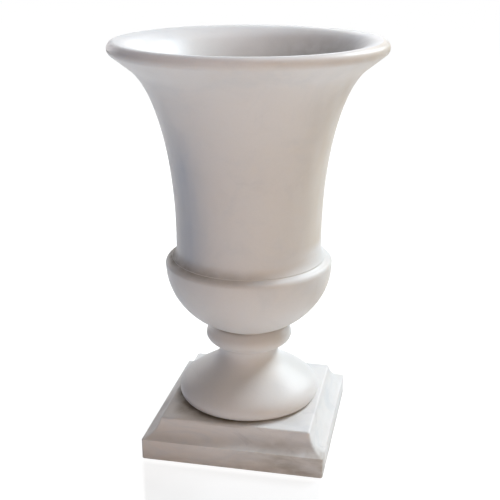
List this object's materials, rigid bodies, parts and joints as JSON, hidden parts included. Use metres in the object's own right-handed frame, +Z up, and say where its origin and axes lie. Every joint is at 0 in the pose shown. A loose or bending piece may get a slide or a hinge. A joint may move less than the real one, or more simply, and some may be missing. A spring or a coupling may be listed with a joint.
{
  "type": "vase",
  "caption": "Campana vase of turned white marble: flared bell with a bullnosed lip on a rounded bowl, knop and spreading foot, on a square moulded plinth.",
  "frame": {"origin": "on the axis of the turned stones, in the plane under the felt pads that the vase stands on", "axes": "+Z up along the axis; the plinth's sides are parallel to X and Y; the pictured front side of the plinth faces -Y"},
  "size_m": [0.2923, 0.2924, 0.451],
  "materials": {
    "white_marble": "white marble with faint grey and warm clouding, honed to a soft satin polish",
    "stone_adhesive": "cured off-white polyester stone adhesive, matt",
    "zinc_plated_steel": "zinc-plated steel, dull bright",
    "spring_steel": "oiled dark spring steel",
    "black_rubber": "black rubber, matt",
    "grey_felt": "pressed wool felt, mid grey"
  },
  "bodies": {
    "root": {"plinth": "white_marble", "foot_bed": "stone_adhesive", "foot": "white_marble", "knop_bed": "stone_adhesive", "knop": "white_marble", "bowl_bed": "stone_adhesive", "bowl": "white_marble", "bell_bed": "stone_adhesive", "bell": "white_marble", "tie_rod": "zinc_plated_steel", "base_nut": "zinc_plated_steel", "lock_washer": "spring_steel", "base_washer": "zinc_plated_steel", "top_seal": "black_rubber", "top_washer": "zinc_plated_steel", "top_nut": "zinc_plated_steel", "felt_pads": "grey_felt"}
  },
  "joints": []
}
